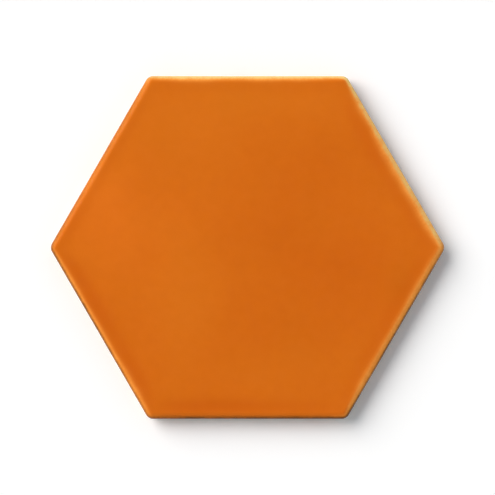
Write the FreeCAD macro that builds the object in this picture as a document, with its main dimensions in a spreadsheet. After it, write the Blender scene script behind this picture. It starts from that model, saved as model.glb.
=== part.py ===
import FreeCAD, Part
import math
import os

import Sketcher
from FreeCAD import Vector

# A glazed hexagon floor tile, pressed and fired as one piece. It lies on its back, face up,
# with two corners on the X axis and two sides across the Y axis. The origin is on the back,
# under the middle of the face.

DOCUMENT = "HexagonFloorTile"
TILE = "hexagon_tile"
SHEET = "Sizes"

# millimetres and degrees; each size stands on its own
SIZES = [
    ("across_flats", 200.0, "between two opposite sides, at the rim before it is rounded"),
    ("thickness", 12.0, "back to face"),
    ("side_draft", 1.5, "degrees; the sides narrow towards the back"),
    ("corner_radius", 5.0, "of the six corners at the rim, seen from above"),
    ("bevel_width", 3.0, "of the sloping rim round the face"),
    ("bevel_drop", 1.4, "from the face down the side to the rim's outer edge"),
    ("face_blend_radius", 6.0, "where the face rolls into the sloping rim"),
    ("rim_radius", 1.6, "where the sloping rim rolls into the side"),
    ("foot_chamfer", 1.0, "round the edge of the back"),
    ("key_pitch", 28.5, "middle to middle of the cells pressed into the back"),
    ("key_rib", 4.5, "between two cells, at the back"),
    ("key_depth", 1.5, "of the cells"),
    ("key_draft", 20.0, "degrees; the cells narrow towards their floors"),
    ("key_corner_radius", 3.0, "of a cell's six corners, at the back"),
    ("key_land", 8.0, "least flat margin round the cells"),
]

SIDES = 6
TURN = 360.0 / SIDES
HALF_TURN = TURN / 2
# a side runs square to the way it faces
QUARTER_TURN = 90.0
# the lattice of cells is made of three equal fields round the bare middle cell
FIELDS = 3
# tells two heights or two headings apart
CLOSE = 1e-4
# how far the count of cells by volume may be off
CELL_COUNT_SLACK = 0.01

# a sketch's own origin point and X axis, and the numbers of an element's points
ORIGIN = (-1, 1)
X_AXIS = -1
START, END, CENTRE = 1, 2, 3

# the height of the rim's outer edge, how far the sides stand in at the back, and half the
# width of the back
RIM_HEIGHT = f"({SHEET}.thickness - {SHEET}.bevel_drop * cos({SHEET}.side_draft))"
STAND_IN = f"{RIM_HEIGHT} * tan({SHEET}.side_draft)"
BACK_HALF_WIDTH = f"({SHEET}.across_flats / 2 - {STAND_IN})"
# half the width of a cell, how far its corners reach, and the rings of cells that fit
CELL_HALF_WIDTH = f"({SHEET}.key_pitch - {SHEET}.key_rib) / 2"
CELL_REACH = f"{CELL_HALF_WIDTH} / cos({HALF_TURN})"
RINGS = (
    f"floor(({BACK_HALF_WIDTH} - {SHEET}.foot_chamfer - {SHEET}.key_land - {CELL_REACH})"
    f" / ({SHEET}.key_pitch * cos({HALF_TURN})))"
)


def make_sheet(doc):
    """The spreadsheet that holds every driving size under a name."""
    sheet = doc.addObject("Spreadsheet::Sheet", SHEET)
    for row, (name, value, note) in enumerate(SIZES, start=1):
        sheet.set(f"A{row}", name)
        sheet.set(f"B{row}", str(value))
        sheet.setAlias(f"B{row}", name)
        sheet.set(f"C{row}", note)
    doc.recompute()
    return sheet


def rim_height(sheet):
    """The height of the rim's outer edge, where the tile is widest."""
    return sheet.thickness - sheet.bevel_drop * math.cos(math.radians(sheet.side_draft))


def around(centre, radius, degrees):
    """The point at a distance and a heading from a centre, in the plane of the back."""
    angle = math.radians(degrees)
    return centre + Vector(radius * math.cos(angle), radius * math.sin(angle), 0)


def sketch_on_back(body, name):
    """An empty sketch in the plane of the back."""
    plane = next(f for f in body.Origin.OriginFeatures if f.Role == "XY_Plane")
    sketch = body.newObject("Sketcher::SketchObject", name)
    sketch.AttachmentSupport = [(plane, "")]
    sketch.MapMode = "FlatFace"
    return sketch


def tie(sketch, kind, *where):
    """Add a constraint to a sketch."""
    return sketch.addConstraint(Sketcher.Constraint(kind, *where))


def measure(sketch, name, formula, kind, *where):
    """Add a named constraint to a sketch and tie its value to the spreadsheet."""
    sketch.renameConstraint(tie(sketch, kind, *where), name)
    sketch.setExpression(f"Constraints.{name}", formula)


def rounded_hexagon(sketch, centre, facing, half_width, corner_radius):
    """Draw a regular hexagon with round corners. Its first side faces the given heading.

    Both sizes come as a number to start from and a formula. Returns the guide circle,
    which touches the sides from within.
    """
    half_wide, half_wide_formula = half_width
    radius, radius_formula = corner_radius
    up = Vector(0, 0, 1)
    half_turn = math.radians(HALF_TURN)
    half_side = math.atan(math.tan(half_turn) * (1 - radius / half_wide))
    side_reach = half_wide / math.cos(half_side)
    corner_reach = (half_wide - radius) / math.cos(half_turn)

    guide = sketch.addGeometry(Part.Circle(centre, up, half_wide), True)
    sides = []
    corners = []
    for k in range(SIDES):
        heading = facing + k * TURN
        start = around(centre, side_reach, heading - math.degrees(half_side))
        end = around(centre, side_reach, heading + math.degrees(half_side))
        sides.append(sketch.addGeometry(Part.LineSegment(start, end), False))
        middle = around(centre, corner_reach, heading + HALF_TURN)
        turning = math.radians(heading), math.radians(heading + TURN)
        arc = Part.ArcOfCircle(Part.Circle(middle, up, radius), *turning)
        corners.append(sketch.addGeometry(arc, False))
    for k in range(SIDES):
        tie(sketch, "Tangent", sides[k], END, corners[k], START)
        tie(sketch, "Tangent", corners[k], END, sides[(k + 1) % SIDES], START)
        tie(sketch, "Tangent", sides[k], guide)
        along = math.radians(facing + k * TURN + QUARTER_TURN)
        tie(sketch, "Angle", sides[k], math.remainder(along, 2 * math.pi))
        if k > 0:
            tie(sketch, "Equal", corners[0], corners[k])
    measure(sketch, "half_width", half_wide_formula, "Radius", guide, half_wide)
    measure(sketch, "corner_radius", radius_formula, "Radius", corners[0], radius)
    return guide


def outline_sketch(body, sheet):
    """The outline of the back: a hexagon about the origin, with a corner on +X."""
    sketch = sketch_on_back(body, "outline")
    stand_in = rim_height(sheet) * math.tan(math.radians(sheet.side_draft))
    guide = rounded_hexagon(
        sketch,
        Vector(0, 0, 0),
        HALF_TURN,
        (sheet.across_flats / 2 - stand_in, BACK_HALF_WIDTH),
        (sheet.corner_radius - stand_in, f"{SHEET}.corner_radius - {STAND_IN}"),
    )
    tie(sketch, "Coincident", guide, CENTRE, *ORIGIN)
    return sketch


def cell_sketch(body, sheet):
    """One cell of the back: the neighbour of the middle one, on +X."""
    sketch = sketch_on_back(body, "key_cell")
    guide = rounded_hexagon(
        sketch,
        Vector(sheet.key_pitch, 0, 0),
        0,
        ((sheet.key_pitch - sheet.key_rib) / 2, CELL_HALF_WIDTH),
        (sheet.key_corner_radius, f"{SHEET}.key_corner_radius"),
    )
    tie(sketch, "PointOnObject", guide, CENTRE, X_AXIS)
    pitch = f"{SHEET}.key_pitch"
    measure(sketch, "pitch", pitch, "Distance", *ORIGIN, guide, CENTRE, sheet.key_pitch)
    return sketch


def add_feature(body, kind, name, formulas, **choices):
    """Add a feature to a body, with values tied to the spreadsheet and plain choices."""
    feature = body.newObject(f"PartDesign::{kind}", name)
    for key, formula in formulas.items():
        feature.setExpression(key, formula)
    for key, choice in choices.items():
        setattr(feature, key, choice)
    return feature


def level_edges(feature, height):
    """Names of the feature's edges that lie level at one height."""
    names = []
    for number, edge in enumerate(feature.Shape.Edges, start=1):
        if all(abs(v.Point.z - height) < CLOSE for v in edge.Vertexes):
            names.append(f"Edge{number}")
    return names


def dress_edges(body, kind, name, height, formulas, **choices):
    """Round or bevel the body's edges that lie level at one height."""
    base = body.Tip
    feature = add_feature(body, kind, name, formulas, **choices)
    feature.Base = (base, level_edges(base, height))
    body.Document.recompute()


def press_slab(body, sheet):
    """The tile with its rim and foot, still flat on the back. Returns the outline."""
    outline = outline_sketch(body, sheet)
    sizes = {"Length": f"{SHEET}.thickness", "TaperAngle": f"{SHEET}.side_draft"}
    add_feature(body, "Pad", "slab", sizes, Profile=outline)
    body.Document.recompute()

    face = sheet.thickness
    sizes = {"Size": f"{SHEET}.bevel_width", "Size2": f"{SHEET}.bevel_drop"}
    slope = {"ChamferType": "Two distances", "FlipDirection": True}
    dress_edges(body, "Chamfer", "bevel", face, sizes, **slope)
    sizes = {"Radius": f"{SHEET}.face_blend_radius"}
    dress_edges(body, "Fillet", "face_blend", face, sizes)
    sizes = {"Radius": f"{SHEET}.rim_radius"}
    dress_edges(body, "Fillet", "rim_blend", rim_height(sheet), sizes)
    dress_edges(body, "Chamfer", "foot", 0, {"Size": f"{SHEET}.foot_chamfer"})
    return outline


def side_with_heading(sketch, degrees):
    """The name of the sketch's straight side that runs at the given heading."""
    for number, edge in enumerate(sketch.Shape.Edges, start=1):
        along = edge.Vertexes[1].Point - edge.Vertexes[0].Point
        heading = math.degrees(math.atan2(along.y, along.x))
        if edge.Curve.TypeId == "Part::GeomLine" and abs(heading - degrees) < CLOSE:
            return f"Edge{number}"
    raise ValueError(f"no side runs at {degrees} degrees")


def key_row(body, name, outline, direction, count):
    """Copies of a cell in a row, one pitch apart."""
    sizes = {"Occurrences": count, "Offset": f"{SHEET}.key_pitch"}
    way = (outline, [direction])
    return add_feature(body, "LinearPattern", name, sizes, Direction=way, Mode="Spacing")


def press_keys(body, sheet, outline):
    """The honeycomb of shallow cells that keys the back to its mortar.

    Three equal fields of cells fill the back. Each one runs out from the middle along X,
    and along the side that starts at the corner on +X. The middle cell stays bare.
    Returns the volume of one cell and the number of cells.
    """
    slab_volume = body.Shape.Volume
    cell = cell_sketch(body, sheet)
    sizes = {"Length": f"{SHEET}.key_depth", "TaperAngle": f"-{SHEET}.key_draft"}
    key = add_feature(body, "Pocket", "key", sizes, Profile=cell, Reversed=True)
    body.Document.recompute()

    slanted = side_with_heading(outline, HALF_TURN + QUARTER_TURN)
    rows = key_row(body, "key_rows", outline, "H_Axis", RINGS)
    columns = key_row(body, "key_columns", outline, slanted, f"{RINGS} + 1")
    axis = (outline, ["N_Axis"])
    fields = {"Axis": axis, "Angle": 360, "Occurrences": FIELDS}
    turns = add_feature(body, "PolarPattern", "key_turns", {}, **fields)
    lattice = add_feature(body, "MultiTransform", "key_lattice", {}, Originals=[key])
    lattice.Transformations = [rows, columns, turns]
    body.Tip = lattice
    body.Document.recompute()
    cell_volume = slab_volume - key.Shape.Volume
    return cell_volume, rows.Occurrences * columns.Occurrences * FIELDS


def check_tile(body, slab_volume, cell_volume, cells):
    """Stop unless the document is sound and every cell was cut out of the one solid."""
    for item in body.Document.Objects:
        if {"Invalid", "Error"} & set(item.State):
            raise RuntimeError(f"{item.Name} failed: {item.State}")
    shape = body.Shape
    if shape.isNull() or not shape.isValid() or len(shape.Solids) != 1:
        raise RuntimeError(f"{body.Label} is not one sound solid")
    if cell_volume <= 0:
        raise RuntimeError("the cells cut nothing")
    cut = (slab_volume - shape.Volume) / cell_volume
    if abs(cut - cells) > CELL_COUNT_SLACK:
        raise RuntimeError(f"{cells} cells should be cut, but {cut:.2f} are")
    box = shape.BoundBox
    print(f"{body.Label}: {box.XLength:.2f} x {box.YLength:.2f} x {box.ZLength:.2f} mm")
    print(f"{cells} cells in the back, {shape.Volume / 1000:.1f} cm3")


def main():
    doc = FreeCAD.newDocument(DOCUMENT)
    sheet = make_sheet(doc)
    body = doc.addObject("PartDesign::Body", TILE)
    body.Label = TILE
    outline = press_slab(body, sheet)
    slab_volume = body.Shape.Volume
    cell_volume, cells = press_keys(body, sheet, outline)
    check_tile(body, slab_volume, cell_volume, cells)
    os.makedirs("parts", exist_ok=True)
    body.Shape.exportStep(f"parts/{body.Label}.step")


main()
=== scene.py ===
import math

import bpy
import numpy as np
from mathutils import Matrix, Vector, geometry

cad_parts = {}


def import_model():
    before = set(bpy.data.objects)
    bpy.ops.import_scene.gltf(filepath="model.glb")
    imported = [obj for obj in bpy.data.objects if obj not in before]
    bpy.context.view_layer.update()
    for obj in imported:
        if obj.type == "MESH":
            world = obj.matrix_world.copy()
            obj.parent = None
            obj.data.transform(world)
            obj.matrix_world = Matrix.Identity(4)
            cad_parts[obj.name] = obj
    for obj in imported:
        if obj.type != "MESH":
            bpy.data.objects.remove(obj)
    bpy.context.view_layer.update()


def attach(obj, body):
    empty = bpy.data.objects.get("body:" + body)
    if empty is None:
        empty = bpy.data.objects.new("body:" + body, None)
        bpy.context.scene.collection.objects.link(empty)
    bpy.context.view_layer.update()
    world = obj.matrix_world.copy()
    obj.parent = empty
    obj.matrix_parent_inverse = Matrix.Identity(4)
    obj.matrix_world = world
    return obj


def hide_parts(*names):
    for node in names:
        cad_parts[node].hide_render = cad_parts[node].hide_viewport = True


# A glazed hexagon floor tile, seen from straight above on a white floor. Lengths in the
# shape code are millimetres, in the row frame; the mesh is made in metres.

NODE = "hexagon_tile"
BODY = "root"
MM = 0.001
SIDES = 6
# which way each side faces, seen from above: 90 is the top of the picture
FACING = (30, 90, 150, 210, 270, 330)

# the section of the tile, as the solid has it
HALF_FLATS = 100.0
THICKNESS = 12.0
SIDE_DRAFT = math.radians(1.5)
CORNER_RADIUS = 5.0
BEVEL_WIDTH = 3.0
BEVEL_DROP = 1.4
FACE_BLEND = 6.0
RIM_RADIUS = 1.6
FOOT = 1.0

# the cells in the back, as the solid has them, but with soft corners
KEY_PITCH = 28.5
KEY_RIB = 4.5
KEY_MOUTH = (KEY_PITCH - KEY_RIB) / 2
KEY_DEPTH = 1.5
KEY_DRAFT = math.radians(20)
KEY_CORNER, KEY_LEAST_CORNER = 3.0, 0.3
KEY_RINGS = 3
KEY_MOUTH_RADIUS = 0.5
KEY_FLOOR_RADIUS = 0.7
# how much a cell's floor tilts along x and y, and how much its depth differs; the wall
# differs in depth only from here up
KEY_TILT = (0.003, 0.003, 0.05)
KEY_TILT_FROM = 0.3

# how fine the mesh is: steps along a side, of which some turn each corner, then steps along
# each stretch of the section, then the steps of a cell
SIDE_STEPS = 80
CORNER_STEPS = 12
LATTICE_REACH = 90.0
LATTICE_JOIN_STEPS = 4
BLEND_STEPS, BEVEL_STEPS, RIM_STEPS, SIDE_ROWS, FOOT_STEPS = 9, 3, 12, 18, 3
CELL_STRAIGHT, CELL_CORNER, CELL_ARC = 4, 4, 4
CELL_FLOOR_RINGS = (0.66, 0.33)

# the glazed face: how far it sinks below the solid's, how much it swells and ripples, how
# little it may sink, the hollow inside the rim, and where all of that fades out at the rim
FACE_SINK, FACE_SWELL, FACE_RIPPLE, FACE_LEAST_SINK = 0.07, 0.045, 0.006, 0.002
HOLLOW_DEPTH, HOLLOW_MIDDLE, HOLLOW_WIDTH = 0.05, 9, 4
FACE_FADE = (-1.5, 6)

# the rim: how far it lies inside the solid's, how much that wanders, and how much the
# bevel's line sinks and waves, up to so many points before the side
RIM_SLACK, RIM_WANDER = 0.06, 0.05
ROLL_MIDDLE, ROLL_WIDTH, ROLL_SINK, ROLL_WAVE = 98.2, 1.6, 0.05, 0.05
ROLL_ENDS = 8

# the skin of glaze on the sides: the height where it ends, its waves and its drips, how
# thick it is, and how it ends in a lip
GLAZE_END, GLAZE_WAVE, DRIP_LENGTH, DRIP_POWER = 4.6, 1.1, 2.2, 1.5
SKIN, SKIN_FADE = 0.22, (-0.5, 0.1)
LIP, LIP_MIDDLE, LIP_WIDTH = 0.05, 0.35, 0.5

# each point knows how far it is over the end of the glaze, and how far inside the arris;
# what isn't on the sides or the rim has values far from both
FACE_OVER, RIM_GLAZE_END, FOOT_OVER = 9.0, 5.5, -5.0
BACK_FACTS = {"inward": -20.0, "over": -9.0}


def srgb(r, g, b):
    """A colour in 0 to 255 as the linear values that a shader takes."""
    shares = [c / 255 for c in (r, g, b)]
    return [c / 12.92 if c <= 0.04045 else ((c + 0.055) / 1.055) ** 2.4 for c in shares]


def smooth(low, high, x):
    """From 0 at low to 1 at high, which may be the lower of the two."""
    t = np.clip((x - low) / (high - low), 0, 1)
    return t * t * (3 - 2 * t)


def bell(x, middle, width):
    """1 in the middle, falling softly to both sides."""
    return np.exp(-(((x - middle) / width) ** 2))


class RimWaves:
    """A gentle random line round the rim, from -1 to 1. It takes the share of the way round."""

    def __init__(self, seed, turns):
        random = np.random.default_rng(seed)
        self.turns = np.array(turns)
        self.phases = random.uniform(0, 2 * math.pi, len(turns))
        self.sizes = random.uniform(0.5, 1, len(turns)) / np.sqrt(self.turns)
        self.sizes /= self.sizes.sum() * 0.6

    def __call__(self, share):
        angles = 2 * math.pi * np.asarray(share)[..., None] * self.turns + self.phases
        return np.clip((np.cos(angles) * self.sizes).sum(-1), -1, 1)


class Swell:
    """A gentle random surface over the face, from about -1 to 1. Wavelengths in mm."""

    def __init__(self, seed, shortest, longest, count):
        random = np.random.default_rng(seed)
        length = np.exp(random.uniform(math.log(shortest), math.log(longest), count))
        heading = random.uniform(0, 2 * math.pi, count)
        self.waves = 2 * math.pi / length[:, None] * np.stack([np.cos(heading), np.sin(heading)], 1)
        self.phases = random.uniform(0, 2 * math.pi, count)
        self.sizes = np.sqrt(length / longest)
        self.sizes /= np.sqrt((self.sizes**2).sum()) * 1.4

    def __call__(self, xy):
        return (np.cos(xy @ self.waves.T + self.phases) * self.sizes).sum(-1)


def reaches(xy):
    """How far out each point is toward each side, square to that side."""
    angles = np.radians(FACING)
    return xy @ np.stack([np.cos(angles), np.sin(angles)])


def by_side(xy, values, blend=5.0):
    """One value for each side, carried over the face, with a short change at the corners."""
    reach = reaches(xy)
    weights = np.exp((reach - reach.max(-1, keepdims=True)) / blend)
    return (weights * np.array(values)).sum(-1) / weights.sum(-1)


def corner_gap(xy):
    """How far along its side a point is from the nearest corner: 0 there, 1 at mid-side."""
    second, first = np.sort(reaches(xy), axis=-1)[:, -2:].T
    return np.clip((first - second) / np.maximum(first, 1e-6) * 2, 0, 1)


def arc(start, turn_from, turn_to, radius, steps):
    """Points along an arc of the section. The turn is the slope of the way, down from level."""
    turns = np.linspace(turn_from, turn_to, steps + 1)
    x = start[0] + radius * (np.sin(turns) - math.sin(turn_from))
    z = start[1] - radius * (math.cos(turn_from) - np.cos(turns))
    return np.stack([x, z], 1)[1:]


def run(start, end, steps):
    """Points along a straight stretch of the section."""
    return np.linspace(start, end, steps + 1)[1:]


def tile_section():
    """Points from the flat of the face out over the rim and down to the back, as (x, z).

    Returns the points, and how many of them come before the plain side and before the foot.
    """
    slope = math.atan2(
        BEVEL_DROP * math.cos(SIDE_DRAFT),
        BEVEL_WIDTH - BEVEL_DROP * math.sin(SIDE_DRAFT),
    )
    down = math.pi / 2 + SIDE_DRAFT
    rim_height = THICKNESS - BEVEL_DROP * math.cos(SIDE_DRAFT)
    top_corner = HALF_FLATS + BEVEL_DROP * math.sin(SIDE_DRAFT) - BEVEL_WIDTH
    start = (top_corner - FACE_BLEND * math.tan(slope / 2), THICKNESS)
    reach = RIM_RADIUS * math.tan((down - slope) / 2)
    bevel_end = (HALF_FLATS - reach * math.cos(slope), rim_height + reach * math.sin(slope))

    points = [np.array([start])]
    points.append(arc(start, 0, slope, FACE_BLEND, BLEND_STEPS))
    points.append(run(points[-1][-1], bevel_end, BEVEL_STEPS))
    points.append(arc(bevel_end, slope, down, RIM_RADIUS, RIM_STEPS))
    rim_points = sum(map(len, points))
    side_top = points[-1][-1]
    foot = FOOT * math.cos(SIDE_DRAFT)
    side_end = side_top - (side_top[1] - foot) * np.array([math.tan(SIDE_DRAFT), 1])
    points.append(run(side_top, side_end, SIDE_ROWS))
    side_points = sum(map(len, points))
    points.append(run(side_end, (side_end[0] - FOOT, 0), FOOT_STEPS))
    return np.concatenate(points), rim_points, side_points


def ring_shares(evenly):
    """Where a ring's points lie along a side, from -1 to 1. At 0 they gather in the corners."""
    t = np.arange(SIDE_STEPS) * 2 / SIDE_STEPS - 1
    turn = 1 - CORNER_STEPS / SIDE_STEPS
    half_side = (HALF_FLATS - CORNER_RADIUS) * math.tan(math.pi / 6)
    straight = half_side / (half_side + CORNER_RADIUS * math.pi / 6)
    size = np.abs(t)
    gathered = np.where(
        size < turn, size / turn * straight, 1 - (1 - size) / (1 - turn) * (1 - straight)
    )
    return (1 - evenly) * np.sign(t) * gathered + evenly * t


def ring(apothem, evenly=0.0):
    """The points of a hexagon with round corners, from the corner on +X round to the left."""
    radius = max(CORNER_RADIUS - (HALF_FLATS - apothem), 0)
    straight = (apothem - radius) * math.tan(math.pi / 6)
    half = straight + radius * math.pi / 6
    along = ring_shares(evenly) * half
    turn = np.sign(along) * np.maximum(np.abs(along) - straight, 0) / max(radius, 1e-9)
    sideways = np.clip(along, -straight, straight) + radius * np.sin(turn)
    outward = (apothem - radius) + radius * np.cos(turn)
    points = []
    for facing in np.radians(FACING):
        out = np.array([math.cos(facing), math.sin(facing)])
        left = np.array([-out[1], out[0]])
        points.append(outward[:, None] * out + sideways[:, None] * left)
    return np.concatenate(points)


def cell_ring(apothem, radius):
    """The points of one cell's outline about its own middle, sides facing 0, 60 and on."""
    half = (apothem - radius) * math.tan(math.pi / 6)
    points = []
    for k in range(SIDES):
        facing = math.radians(60 * k)
        out = np.array([math.cos(facing), math.sin(facing)])
        left = np.array([-out[1], out[0]])
        for j in range(CELL_STRAIGHT):
            along = half * (2 * j / CELL_STRAIGHT - 1)
            points.append(apothem * out + along * left)
        middle = (apothem - radius) * out + half * left
        for j in range(CELL_CORNER):
            turn = math.radians(60) * j / CELL_CORNER
            points.append(middle + radius * (math.cos(turn) * out + math.sin(turn) * left))
    return np.array(points)


def cell_middles():
    """The middles of the cells, ring by ring on a lattice, without the one in the centre."""
    a = KEY_PITCH * np.array([1, 0])
    b = KEY_PITCH * np.array([0.5, math.sqrt(0.75)])
    reach = range(-KEY_RINGS, KEY_RINGS + 1)
    places = [(i, j) for i in reach for j in reach]
    return [i * a + j * b for i, j in places if 0 < max(abs(i), abs(j), abs(i + j)) <= KEY_RINGS]


def cell_section():
    """A cell's wall from the back in to its floor, as (apothem, z), with soft corners."""
    lean = math.pi / 2 - KEY_DRAFT
    turns = [lean * k / CELL_ARC for k in range(CELL_ARC + 1)]
    mouth = KEY_MOUTH + KEY_MOUTH_RADIUS * math.tan(lean / 2)
    floor = KEY_MOUTH - KEY_DEPTH * math.tan(KEY_DRAFT) - KEY_FLOOR_RADIUS * math.tan(lean / 2)
    points = []
    for turn in turns:
        rise = KEY_MOUTH_RADIUS * (1 - math.cos(turn))
        points.append((mouth - KEY_MOUTH_RADIUS * math.sin(turn), rise))
    for turn in reversed(turns):
        rise = KEY_FLOOR_RADIUS * (1 - math.cos(turn))
        points.append((floor + KEY_FLOOR_RADIUS * math.sin(turn), KEY_DEPTH - rise))
    return points


class Shape:
    """The mesh in the making: points with their facts, and faces."""

    def __init__(self):
        self.points, self.facts, self.faces, self.flat = [], [], [], []
        self.count = 0

    def add(self, points, **facts):
        """Add points and return their numbers."""
        points = np.atleast_2d(points)
        n = len(points)
        self.points.append(points)
        self.facts.append({k: np.broadcast_to(v, n).astype(float) for k, v in facts.items()})
        self.count += n
        return np.arange(self.count - n, self.count)

    def face(self, *corners, flat=False):
        self.faces.append(corners)
        self.flat.append(flat)

    def band(self, first, second):
        """Join two closed rings of as many points."""
        n = len(first)
        for i in range(n):
            j = (i + 1) % n
            self.face(first[i], second[i], second[j], first[j])

    def fact(self, name):
        """One fact of all the points, 0 where it wasn't given."""
        given = zip(self.facts, self.points)
        return np.concatenate([facts.get(name, np.zeros(len(points))) for facts, points in given])


face_swell = Swell(11, 24, 90, 26)
face_ripple = Swell(12, 7, 16, 40)
rim_line = RimWaves(21, [2, 3, 5, 7, 9, 12, 17, 23, 31])
bevel_line = RimWaves(22, [4, 7, 11, 16, 22, 29, 37, 46])
glaze_line = RimWaves(23, [3, 5, 8, 13, 19, 26, 34, 43, 55])
drip_line = RimWaves(24, [11, 17, 29, 41, 53, 67])


def face_height(xy):
    """How far the glazed face lies above the solid's, which is a little less than 0."""
    inward = HALF_FLATS - reaches(xy).max(-1)
    hollow = HOLLOW_DEPTH * bell(inward, HOLLOW_MIDDLE, HOLLOW_WIDTH)
    sink = FACE_SINK + FACE_SWELL * face_swell(xy) + FACE_RIPPLE * face_ripple(xy) + hollow
    return -sink.clip(FACE_LEAST_SINK)


def glaze_edge(share):
    """The height at which the glaze on the sides ends."""
    drips = np.maximum(drip_line(share), 0) ** DRIP_POWER
    return GLAZE_END + GLAZE_WAVE * glaze_line(share) - DRIP_LENGTH * drips


def face_lattice(shape):
    """The inside of the face, a lattice of triangles. Returns its outline."""
    corner_reach = LATTICE_REACH / math.cos(math.pi / 6)
    turns = [math.radians(60 * k) for k in range(SIDES + 1)]
    corners = [np.array([math.cos(a), math.sin(a)]) * corner_reach for a in turns]
    rings = [shape.add([[0.0, 0.0, 0.0]], inward=HALF_FLATS, over=FACE_OVER)]
    for m in range(1, SIDE_STEPS + 1):
        shares = np.arange(m)[:, None] / m
        sides = [corners[k] * (1 - shares) + corners[k + 1] * shares for k in range(SIDES)]
        flat = np.concatenate(sides) * m / SIDE_STEPS
        inward = HALF_FLATS - LATTICE_REACH * m / SIDE_STEPS
        rings.append(shape.add(np.c_[flat, np.zeros(len(flat))], inward=inward, over=FACE_OVER))
    for m in range(1, SIDE_STEPS + 1):
        outer, inner = rings[m], rings[m - 1]
        for k in range(SIDES):
            for j in range(m):
                a, b = outer[k * m + j], outer[(k * m + j + 1) % (SIDES * m)]
                c = inner[(k * (m - 1) + j) % len(inner)]
                shape.face(a, b, c)
                if j < m - 1:
                    d = inner[(k * (m - 1) + j + 1) % len(inner)]
                    shape.face(b, d, c)
    return rings[-1]


def rim_and_sides(shape, last):
    """Rings from the lattice out over the rim, down the side and in to the back.

    Returns the last ring, which is the outline of the back.
    """
    section, rim_points, side_points = tile_section()
    flat_reach = section[0][0]
    total = SIDES * SIDE_STEPS
    for reach in np.linspace(LATTICE_REACH, flat_reach, LATTICE_JOIN_STEPS + 1)[1:-1]:
        evenly = (flat_reach - reach) / (flat_reach - LATTICE_REACH)
        points = np.c_[ring(reach, evenly), np.zeros(total)]
        new = shape.add(points, inward=HALF_FLATS - reach, over=FACE_OVER)
        shape.band(last, new)
        last = new

    share = np.arange(total) / total
    edge = glaze_edge(share)
    slack = RIM_SLACK + RIM_WANDER * rim_line(share)
    lengths = np.r_[0, np.cumsum(np.linalg.norm(np.diff(section, axis=0), axis=1))]
    arris = lengths[rim_points - RIM_STEPS // 2]
    for i, (x, z) in enumerate(section):
        flat = ring(x)
        out = flat / np.linalg.norm(flat, axis=1)[:, None]
        height = np.full(total, z - THICKNESS)
        if i < rim_points:
            over = np.full(total, z - RIM_GLAZE_END)
            pull = slack * smooth(flat_reach, HALF_FLATS, x)
            # the bevel's line wanders a little, so that its highlight does
            roll = bell(x, ROLL_MIDDLE, ROLL_WIDTH) * (i < rim_points - ROLL_ENDS)
            height = height - roll * (ROLL_SINK + ROLL_WAVE * bevel_line(share))
        elif i < side_points:
            # the bare clay lies behind the skin of glaze, which ends in a soft lip
            over = z - edge
            skin = SKIN * (1 - smooth(*SKIN_FADE, over))
            pull = slack + skin - LIP * bell(over, LIP_MIDDLE, LIP_WIDTH)
        else:
            over = np.full(total, FOOT_OVER)
            pull = slack + SKIN
        points = np.c_[flat - out * pull[:, None], height]
        side = float(i >= rim_points)
        new = shape.add(points, inward=arris - lengths[i], over=over, side=side)
        shape.band(last, new)
        last = new
    return last


def back_cells(shape):
    """The cells of the back, each closed at its floor. Returns their mouths."""
    section = cell_section()
    mouths = []
    random = np.random.default_rng(31)
    for middle in cell_middles():
        tilt = random.uniform(-1, 1, 3) * KEY_TILT
        previous = None
        for apothem, z in section:
            radius = max(KEY_CORNER - (KEY_MOUTH - apothem), KEY_LEAST_CORNER)
            flat = cell_ring(apothem, radius)
            deep = z * (1 + tilt[2] * (z > KEY_TILT_FROM)) + z * (flat @ tilt[:2])
            points = np.c_[flat + middle, deep - THICKNESS]
            new = shape.add(points, deep=z / KEY_DEPTH, **BACK_FACTS)
            if previous is None:
                mouths.append(new)
            else:
                shape.band(previous, new)
            previous = new
        floor_depth = KEY_DEPTH * (1 + tilt[2])
        for scale in CELL_FLOOR_RINGS:
            inner = flat * scale
            deep = floor_depth + KEY_DEPTH * (inner @ tilt[:2])
            new = shape.add(np.c_[inner + middle, deep - THICKNESS], deep=1.0, **BACK_FACTS)
            shape.band(previous, new)
            previous = new
        hub = shape.add([[*middle, floor_depth - THICKNESS]], deep=1.0, **BACK_FACTS)[0]
        for i, corner in enumerate(previous):
            shape.face(corner, hub, previous[(i + 1) % len(previous)])
    return mouths


def fill_land(shape, outline, mouths):
    """Fill the flat land of the back between its outline and the mouths of the cells."""
    points = np.concatenate(shape.points)
    loops = [outline, *mouths]
    numbers = np.concatenate(loops)
    loop_of = np.concatenate([np.full(len(loop), k) for k, loop in enumerate(loops)])
    edges = []
    first = 0
    for loop in loops:
        n = len(loop)
        edges += [(first + i, first + (i + 1) % n) for i in range(n)]
        first += n
    flat = [Vector(points[n][:2]) for n in numbers]
    found = geometry.delaunay_2d_cdt(flat, edges, [], 0, 1e-6)
    triangles, sources = found[2], found[3]
    if any(len(s) != 1 for s in sources):
        raise RuntimeError("the land of the back got a point of its own")
    for triangle in triangles:
        a, b, c = (sources[t][0] for t in triangle)
        if loop_of[a] == loop_of[b] == loop_of[c]:
            # all on one line: land only where it is inside the outline, or outside a cell
            with_the_line = (a < b) + (b < c) + (c < a) == 2
            if with_the_line != (loop_of[a] == 0):
                continue
        shape.face(numbers[a], numbers[c], numbers[b], flat=True)


def shape_tile():
    """The whole tile as one closed surface."""
    shape = Shape()
    outline = rim_and_sides(shape, face_lattice(shape))
    fill_land(shape, outline, back_cells(shape))
    return shape


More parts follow.
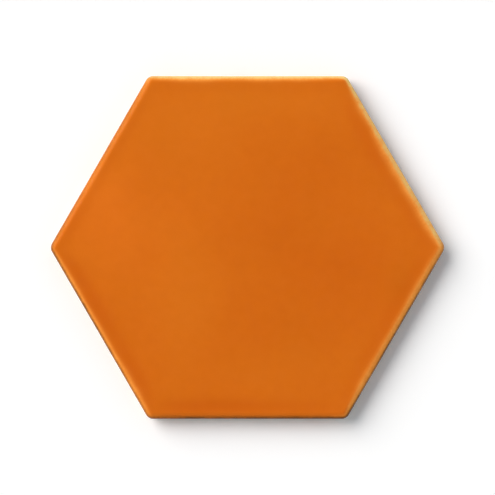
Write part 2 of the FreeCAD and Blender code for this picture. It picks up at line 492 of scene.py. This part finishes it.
# the look of each side of the rim, in the order of FACING: how light the thin glaze on the
# arris is, with a painted highlight that makes it lightest on the top and upper right sides,
# and over how many millimetres; how dark the painted shade along the outermost edge is,
# strongest on the bottom and lower sides; how strongly the glaze pools inside the rim
ARRIS_HIGHLIGHT = (0.78, 1.15, 0.20, 0.36, 0.05, 0.46)
ARRIS_WIDTH = (2.6, 2.2, 1.8, 1.8, 2.0, 1.5)
ARRIS_MIDDLE = (1.5, 0.2, 1.2, 1.8, 1.0, 3.0)
EDGE_SHADE = (0.0, 0.08, 0.42, 0.78, 1.0, 0.85)
EDGE_SHADE_WIDTH = (3.0, 3.0, 3.0, 2.4, 3.0, 2.0)
POOL = (0.50, 0.10, 0.50, 0.85, 0.70, 0.55)
POOL_MIDDLE = (8.5, 7.0, 5.0, 7.0, 7.5, 8.0)
POOL_WIDTH = (4.0, 3.0, 3.5, 4.6, 3.4, 4.0)
# how much all three wander along the rim
ARRIS_WANDER, EDGE_SHADE_WANDER, POOL_WANDER = 0.22, 0.3, 0.25
# how wide the light line and how strong the pools still are at a corner, what share of a
# side the corners take up, and over how many millimetres the light line changes there
ARRIS_AT_CORNERS, POOL_AT_CORNERS, CORNER_SHARE, TONE_BLEND = 0.72, 0.35, 0.32, 2.5
# in mm inside the arris: where the light line ends on the side and where the painted shade
# does, where the light line gives way to the painted shade, and where that shade is full
TONE_END, EDGE_SHADE_END, TONE_GIVES_WAY, EDGE_SHADE_FULL = (-1.9, -0.5), (-1.1, 0.1), (0.8, -0.2), 0.3

# soft clouds in the glaze: middle x and y, how far they reach along both, how light they are,
# and how yellow; together they leave the face lighter to the left and darker to the right
CLOUDS = (
    (-84, 18, 15, 22, 0.82, -0.30),
    (-52, 6, 26, 34, 0.35, -0.10),
    (-36, -26, 12, 24, 0.25, 0.35),
    (-34, 72, 34, 16, 0.32, 0.40),
    (10, 86, 46, 8, 0.25, 0.30),
    (18, 8, 20, 24, -0.42, -0.20),
    (54, -10, 22, 16, -0.48, -0.25),
    (44, 48, 20, 16, -0.26, -0.05),
    (20, -50, 22, 18, -0.40, 0.0),
    (70, -30, 20, 24, -0.25, -0.15),
    (-60, -50, 20, 16, 0.10, 0.0),
    (40, -74, 26, 12, 0.05, 0.15),
    (-79, 24, 7, 11, 0.30, -0.05),
    (-18, -91, 20, 3, -0.55, -0.05),
    (91, -21, 6, 10, -0.45, 0.30),
)


def paint_facts(shape):
    """The facts that the material reads, one value for each point."""
    xy = np.concatenate(shape.points)[:, :2]
    inward = shape.fact("inward")
    share = np.mod(np.arctan2(xy[:, 1], xy[:, 0]) / (2 * math.pi), 1)
    wander = RimWaves(41, [3, 5, 9, 14, 21, 33, 47])(share)
    pool_wander = RimWaves(42, [2, 5, 8, 13, 19])(share)
    along = smooth(0.0, CORNER_SHARE, corner_gap(xy))

    width = by_side(xy, ARRIS_WIDTH) * (1 + ARRIS_WANDER * wander)
    width = width * (ARRIS_AT_CORNERS + (1 - ARRIS_AT_CORNERS) * along)
    beyond = np.maximum(inward - by_side(xy, ARRIS_MIDDLE), 0)
    # the light line of thin glaze on the arris, partly a painted highlight, lightest on the top
    # side
    arris_highlight = by_side(xy, ARRIS_HIGHLIGHT, TONE_BLEND) * bell(beyond, 0, width)
    # painted shade along the outermost edge, strongest on the bottom and lower sides
    edge_shade = by_side(xy, EDGE_SHADE) * (1 - EDGE_SHADE_WANDER * wander)
    edge_shade = edge_shade * smooth(by_side(xy, EDGE_SHADE_WIDTH), EDGE_SHADE_FULL, inward)
    # both end where the side starts, the light line because the glaze is thicker again there;
    # on the sides with painted shade the light line ends before the shade
    arris_highlight = arris_highlight * smooth(*TONE_END, inward)
    arris_highlight = arris_highlight * (1 - by_side(xy, EDGE_SHADE) * smooth(*TONE_GIVES_WAY, inward))
    edge_shade = edge_shade * smooth(*EDGE_SHADE_END, inward)

    pool = by_side(xy, POOL) * (POOL_AT_CORNERS + (1 - POOL_AT_CORNERS) * along)
    pool = pool * (1 + POOL_WANDER * pool_wander)
    pool = pool * bell(inward, by_side(xy, POOL_MIDDLE), by_side(xy, POOL_WIDTH))

    light = np.zeros(len(xy))
    yellow = np.zeros(len(xy))
    for x, y, far_x, far_y, how_light, how_yellow in CLOUDS:
        spread = np.exp(-(((xy[:, 0] - x) / far_x) ** 2 + ((xy[:, 1] - y) / far_y) ** 2) / 2)
        light += how_light * spread
        yellow += how_yellow * spread
    facts = {"arris": arris_highlight, "edge_shade": edge_shade, "pool": pool, "light": light, "yellow": yellow}
    return facts | {name: shape.fact(name) for name in ("over", "deep", "side")}


def make_mesh(shape):
    points = np.concatenate(shape.points)
    on_face = (shape.fact("over") > 0) & (shape.fact("side") == 0)
    fade = smooth(*FACE_FADE, shape.fact("inward")[on_face])
    points[on_face, 2] += face_height(points[on_face, :2]) * fade
    points[:, 2] += THICKNESS
    mesh = bpy.data.meshes.new("glazed_tile")
    mesh.from_pydata((points * MM).tolist(), [], [tuple(map(int, f)) for f in shape.faces])
    mesh.polygons.foreach_set("use_smooth", [not f for f in shape.flat])
    for name, values in paint_facts(shape).items():
        attribute = mesh.attributes.new(name, "FLOAT", "POINT")
        attribute.data.foreach_set("value", values.astype(np.float32))
    mesh.update()
    return mesh


class Nodes:
    """Short calls for building a node tree."""

    def __init__(self, tree):
        self.tree = tree
        tree.nodes.clear()

    def add(self, kind, inputs=None, **settings):
        node = self.tree.nodes.new(kind)
        for key, value in settings.items():
            setattr(node, key, value)
        for key, value in (inputs or {}).items():
            if isinstance(value, bpy.types.NodeSocket):
                self.tree.links.new(value, node.inputs[key])
            else:
                node.inputs[key].default_value = value
        return node

    def math(self, operation, *values, clamp=False):
        node = self.add("ShaderNodeMath", dict(enumerate(values)), operation=operation)
        node.use_clamp = clamp
        return node.outputs[0]

    def times(self, first, second, clamp=False):
        return self.math("MULTIPLY", first, second, clamp=clamp)

    def fact(self, name):
        return self.add("ShaderNodeAttribute", attribute_name=name).outputs["Fac"]

    def scale(self, value, low, high, to_low=0.0, to_high=1.0, soft=True):
        """From to_low at low to to_high at high, with no change beyond them."""
        inputs = {"Value": value, "From Min": low, "From Max": high}
        inputs |= {"To Min": to_low, "To Max": to_high}
        kind = "SMOOTHSTEP" if soft else "LINEAR"
        return self.add("ShaderNodeMapRange", inputs, interpolation_type=kind).outputs["Result"]

    def blend(self, share, first, second):
        """Mix two plain values."""
        inputs = {0: share, 2: first, 3: second}
        return self.add("ShaderNodeMix", inputs, data_type="FLOAT").outputs[0]

    def mix(self, share, first, second):
        """Mix two colours. Each is a socket or three linear values."""
        inputs = {0: share}
        for index, colour in ((6, first), (7, second)):
            is_socket = isinstance(colour, bpy.types.NodeSocket)
            inputs[index] = colour if is_socket else (*colour, 1)
        return self.add("ShaderNodeMix", inputs, data_type="RGBA", clamp_factor=True).outputs[2]

    def noise(self, where, scale, detail=2.0, rough=0.5, offset=(0, 0, 0)):
        moved = self.add("ShaderNodeVectorMath", {0: where, 1: offset}, operation="ADD").outputs[0]
        inputs = {"Vector": moved, "Scale": scale, "Detail": detail, "Roughness": rough}
        return self.add("ShaderNodeTexNoise", inputs).outputs["Fac"]

    def waver(self, amount, *noise):
        """A noise that goes to both sides of 0."""
        return self.times(self.math("SUBTRACT", self.noise(*noise), 0.5), amount)

    def seen(self):
        """1 on rays that show the thing itself, straight, mirrored or through, and else 0."""
        path = self.add("ShaderNodeLightPath").outputs
        mirrored = self.math("MAXIMUM", path["Is Glossy Ray"], path["Is Transmission Ray"])
        return self.math("MAXIMUM", path["Is Camera Ray"], mirrored)


GLAZE = srgb(221, 110, 17)
GLAZE_LIGHT = srgb(237, 122, 26)
GLAZE_DARK = srgb(206, 97, 7)
GLAZE_YELLOW = srgb(220, 121, 22)
GLAZE_RED = srgb(224, 100, 18)
GLAZE_POOL = srgb(207, 86, 6)
# the thin glaze of the arris, lightened further as a painted highlight
GLAZE_THIN_HIGHLIGHT = srgb(255, 160, 66)
GLAZE_THINNEST_HIGHLIGHT = srgb(250, 210, 128)
# painted shade for the outermost edge
GLAZE_EDGE_SHADE = srgb(124, 74, 32)
CLAY = srgb(212, 170, 130)
CLAY_DARK = srgb(188, 138, 98)
CLAY_PALE = srgb(226, 196, 164)
CLAY_GROG = srgb(150, 96, 66)
CLAY_STAIN = srgb(206, 128, 62)
KILN_WASH = srgb(232, 222, 206)

# how much the noises add to the clouds' light and yellow, and how much of each colour shows
BROAD_LIGHT, MOTTLE_LIGHT, BROAD_YELLOW = 0.6, 0.62, 0.8
LIGHT_SHARE, YELLOW_SHARE, POOL_SHARE, SIDE_POOL_SHARE = 0.7, 0.5, 0.36, 0.4
WASH_SHARE, STAIN_SHARE = 0.55, 0.45
# the glaze breaks where it is thin: the noise's range, and how much it takes from or adds to
# the painted highlight and the painted shade
BREAKING, THIN_HIGHLIGHT_BREAKS, EDGE_SHADE_BREAKS = (0.6, 1.4), (0.7, 1.3), (1.35, 0.65)
# how ragged the end of the glaze is and how soft, and the roughness of glaze and clay
FRINGE, GLAZE_SOFTNESS = 0.5, 0.12
GLAZE_ROUGHNESS, CLAY_ROUGHNESS, GLAZE_IOR = (0.09, 0.16), 0.88, 1.5
# the relief that is only bump, in mm: the glaze's orange peel and pinholes, the clay's grain
PEEL, PINHOLES, GRAIN = 0.012, 0.02, 0.16


def glaze_material():
    material = bpy.data.materials.new("orange_glaze_on_clay")
    material.use_nodes = True
    n = Nodes(material.node_tree)
    where = n.add("ShaderNodeTexCoord").outputs["Object"]

    # the glaze: clouds, then the pools inside the rim, then the thin arris with its painted
    # highlight, and the painted shade along the outermost edge
    light = n.math("ADD", n.fact("light"), n.waver(BROAD_LIGHT, where, 38, 2, 0.5))
    light = n.math("ADD", light, n.waver(MOTTLE_LIGHT, where, 150, 3, 0.55, (0.3, 0.1, 0.2)))
    tinted = n.waver(BROAD_YELLOW, where, 30, 2, 0.5, (0.7, 0.2, 0.5))
    yellow = n.math("ADD", n.fact("yellow"), tinted)
    glaze = n.mix(n.times(light, LIGHT_SHARE, clamp=True), GLAZE, GLAZE_LIGHT)
    glaze = n.mix(n.times(light, -LIGHT_SHARE, clamp=True), glaze, GLAZE_DARK)
    glaze = n.mix(n.times(yellow, YELLOW_SHARE, clamp=True), glaze, GLAZE_YELLOW)
    glaze = n.mix(n.times(yellow, -YELLOW_SHARE, clamp=True), glaze, GLAZE_RED)
    glaze = n.mix(n.times(n.fact("pool"), POOL_SHARE, clamp=True), glaze, GLAZE_POOL)
    coarse = n.noise(where, 210, 2, 0.5, (0.9, 0.4, 0.1))
    breaking = n.math("ADD", coarse, n.noise(where, 800, 3, 0.6, (0.2, 0.7, 0.4)))
    # the thin glaze of the arris with its painted highlight, patchy where the glaze breaks
    thin = n.times(n.fact("arris"), n.scale(breaking, *BREAKING, *THIN_HIGHLIGHT_BREAKS, soft=False))
    glaze = n.mix(n.scale(thin, 0.0, 0.5, soft=False), glaze, GLAZE_THIN_HIGHLIGHT)
    glaze = n.mix(n.scale(thin, 0.5, 1.0, soft=False), glaze, GLAZE_THINNEST_HIGHLIGHT)
    # painted shade along the outermost edge, patchy where the glaze breaks
    shade_breaks = n.scale(breaking, *BREAKING, *EDGE_SHADE_BREAKS, soft=False)
    glaze = n.mix(n.times(n.fact("edge_shade"), shade_breaks, clamp=True), glaze, GLAZE_EDGE_SHADE)

    # the bare clay of the lower sides and the back
    grain = n.noise(where, 900, 4, 0.65)
    blotch = n.noise(where, 60, 3, 0.55, (0.2, 0.6, 0.3))
    clay = n.mix(n.scale(blotch, 0.35, 0.65), CLAY, CLAY_PALE)
    clay = n.mix(n.scale(grain, 0.58, 0.72), clay, CLAY_DARK)
    grog = n.add("ShaderNodeTexVoronoi", {"Vector": where, "Scale": 520.0}).outputs["Distance"]
    clay = n.mix(n.scale(grog, 0.16, 0.08), clay, CLAY_GROG)
    # kiln wash rubbed on to the ribs and the land of the back
    rubbed = n.scale(n.noise(where, 45, 4, 0.6, (0.5, 0.8, 0.1)), 0.42, 0.6)
    wash = n.times(rubbed, n.scale(n.fact("deep"), 0.3, 0.0))
    wash = n.times(wash, n.scale(n.fact("over"), -4.0, -8.0))
    clay = n.mix(n.times(wash, WASH_SHARE), clay, KILN_WASH)

    # where one ends and the other starts
    over = n.math("ADD", n.fact("over"), n.waver(FRINGE, where, 700, 3, 0.6, (0.1, 0.9, 0.7)))
    glazed = n.scale(over, -GLAZE_SOFTNESS, GLAZE_SOFTNESS)
    clay = n.mix(n.times(n.scale(over, -1.6, -0.1), STAIN_SHARE), clay, CLAY_STAIN)
    sides = n.times(n.fact("side"), n.scale(over, 3.0, 0.3))
    glaze = n.mix(n.times(sides, SIDE_POOL_SHARE), glaze, GLAZE_POOL)
    colour = n.mix(glazed, clay, glaze)

    sheen = n.noise(where, 220, 3, 0.6, (0.6, 0.6, 0.2))
    rough = n.blend(glazed, CLAY_ROUGHNESS, n.scale(sheen, 0.3, 0.7, *GLAZE_ROUGHNESS))

    peel = n.times(n.noise(where, 520, 2, 0.5, (0.4, 0.3, 0.9)), PEEL)
    pinholes = n.add("ShaderNodeTexVoronoi", {"Vector": where, "Scale": 95.0}).outputs["Distance"]
    skin = n.math("ADD", peel, n.times(n.scale(pinholes, 0.0, 0.035), PINHOLES))
    height = n.blend(glazed, n.times(grain, GRAIN), skin)
    relief = {"Height": height, "Strength": 1.0, "Distance": MM}
    bump = n.add("ShaderNodeBump", relief).outputs[0]

    look = {"Base Color": colour, "Roughness": rough, "Normal": bump, "IOR": GLAZE_IOR}
    shader = n.add("ShaderNodeBsdfPrincipled", look)
    n.add("ShaderNodeOutputMaterial", {"Surface": shader.outputs[0]})
    return material


# the floor: how light it is to the lamps and to the eye, how far it reaches in metres, the
# window under the tile, and how far it lies below the tile in mm
FLOOR_LIT, FLOOR_SEEN = 0.8, 1.08
FLOOR_REACH, WINDOW_REACH = 20.0, 0.110
FLOOR_GAP = 0.2

# the light: a big soft lamp from the upper left casts the shadow, a pale room fills in, and
# a small softbox over the top side draws the line along the rim; another lamp under the floor
# lights the back through the floor's window
KEY_HEADING, KEY_HEIGHT, KEY_SPREAD = 145, 38, 52
KEY_TINT, ROOM_TINT = (1.044, 0.979, 0.943), (0.925, 1.04, 1.10)
KEY_SHARE, ROOM_SHARE = 0.60, 0.34
BACK_HEADING, BACK_HEIGHT, BACK_SPREAD = 60, -35, 20
BACK_SHARE, BELOW_SHARE = 0.45, 0.5
BOX_HEADING, BOX_HEIGHT, BOX_AWAY = 84, 30, 1.5
BOX_SIZE = (0.36, 0.14)
BOX_LEVEL = 1.5
WHITE = (1, 1, 1)
# the walls that the glaze mirrors: where they start and stop to darken, and their levels
WALLS, WALL_LEVELS = (0.02, 0.34), (1.0, 0.05)


def floor_material():
    material = bpy.data.materials.new("white_floor")
    material.use_nodes = True
    n = Nodes(material.node_tree)
    level = n.scale(n.seen(), 0.0, 1.0, FLOOR_LIT, FLOOR_SEEN, soft=False)
    colour = n.add("ShaderNodeCombineColor", {0: level, 1: level, 2: level}).outputs[0]
    shader = n.add("ShaderNodeBsdfDiffuse", {"Color": colour})
    n.add("ShaderNodeOutputMaterial", {"Surface": shader.outputs[0]})
    return material


def direction(heading, height):
    heading, height = math.radians(heading), math.radians(height)
    level = math.cos(height)
    return Vector((math.cos(heading) * level, math.sin(heading) * level, math.sin(height)))


def make_lamps():
    scene = bpy.context.scene
    for name, heading, height, spread, share, tint in (
        ("key", KEY_HEADING, KEY_HEIGHT, KEY_SPREAD, KEY_SHARE, KEY_TINT),
        ("back_key", BACK_HEADING, BACK_HEIGHT, BACK_SPREAD, BACK_SHARE, WHITE),
    ):
        sun = bpy.data.lights.new(name, "SUN")
        sun.energy = share * math.pi / abs(math.sin(math.radians(height)))
        sun.angle = math.radians(spread)
        sun.color = tint
        lamp = bpy.data.objects.new(name, sun)
        lamp.rotation_euler = direction(heading, height).to_track_quat("Z", "Y").to_euler()
        lamp.visible_glossy = False
        scene.collection.objects.link(lamp)

    box = bpy.data.lights.new("softbox", "AREA")
    box.shape = "RECTANGLE"
    box.size, box.size_y = BOX_SIZE
    box.energy = BOX_LEVEL * math.pi * BOX_SIZE[0] * BOX_SIZE[1]
    lamp = bpy.data.objects.new("softbox", box)
    way = direction(BOX_HEADING, BOX_HEIGHT)
    lamp.location = way * BOX_AWAY
    lamp.rotation_euler = way.to_track_quat("Z", "Y").to_euler()
    scene.collection.objects.link(lamp)


def make_room():
    world = bpy.data.worlds.new("room")
    world.use_nodes = True
    bpy.context.scene.world = world
    n = Nodes(world.node_tree)
    seen = n.seen()
    way = n.add("ShaderNodeTexCoord").outputs["Generated"]
    up = n.add("ShaderNodeSeparateXYZ", {0: way}).outputs["Z"]
    # what the glaze mirrors: white down by the horizon, and dark higher up
    walls = n.scale(up, *WALLS, *WALL_LEVELS)
    # from under the floor comes the light for looking at the back
    room = n.scale(up, -0.1, 0.0, BELOW_SHARE, ROOM_SHARE, soft=False)
    tint = n.mix(n.math("MAXIMUM", seen, n.scale(up, 0.0, -0.1)), ROOM_TINT, WHITE)
    light = n.add("ShaderNodeBackground", {"Color": tint, "Strength": n.blend(seen, room, walls)})
    n.add("ShaderNodeOutputWorld", {"Surface": light.outputs[0]})


def make_floor():
    """A wide level floor, with a window under the tile so that its back can be seen."""
    mesh = bpy.data.meshes.new("floor")
    points = []
    for reach in (FLOOR_REACH, WINDOW_REACH):
        for k in range(SIDES):
            turn = math.radians(60 * k)
            points.append((reach * math.cos(turn), reach * math.sin(turn), 0))
    faces = [(k, (k + 1) % SIDES, SIDES + (k + 1) % SIDES, SIDES + k) for k in range(SIDES)]
    mesh.from_pydata(points, [], faces)
    mesh.materials.append(floor_material())
    floor = bpy.data.objects.new("floor", mesh)
    floor.location.z = -FLOOR_GAP * MM
    bpy.context.scene.collection.objects.link(floor)


# the picture is about 288 mm wide at the rim, seen through a long lens
PICTURE_WIDTH = 0.288
LENS = 180.0


def make_camera():
    data = bpy.data.cameras.new("camera")
    data.lens = LENS
    data.clip_start, data.clip_end = 0.01, 100
    camera = bpy.data.objects.new("camera", data)
    away = PICTURE_WIDTH / data.sensor_width * LENS
    camera.location = (0, 0, THICKNESS * MM + away)
    bpy.context.scene.collection.objects.link(camera)
    bpy.context.scene.camera = camera


def make_tile():
    tile = bpy.data.objects.new("glazed_tile", make_mesh(shape_tile()))
    tile.data.materials.append(glaze_material())
    bpy.context.scene.collection.objects.link(tile)
    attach(tile, BODY)
    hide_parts(NODE)


def main():
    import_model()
    bpy.context.scene.view_settings.view_transform = "Standard"
    make_camera()
    make_lamps()
    make_room()
    make_floor()
    make_tile()
    bpy.context.view_layer.update()


main()
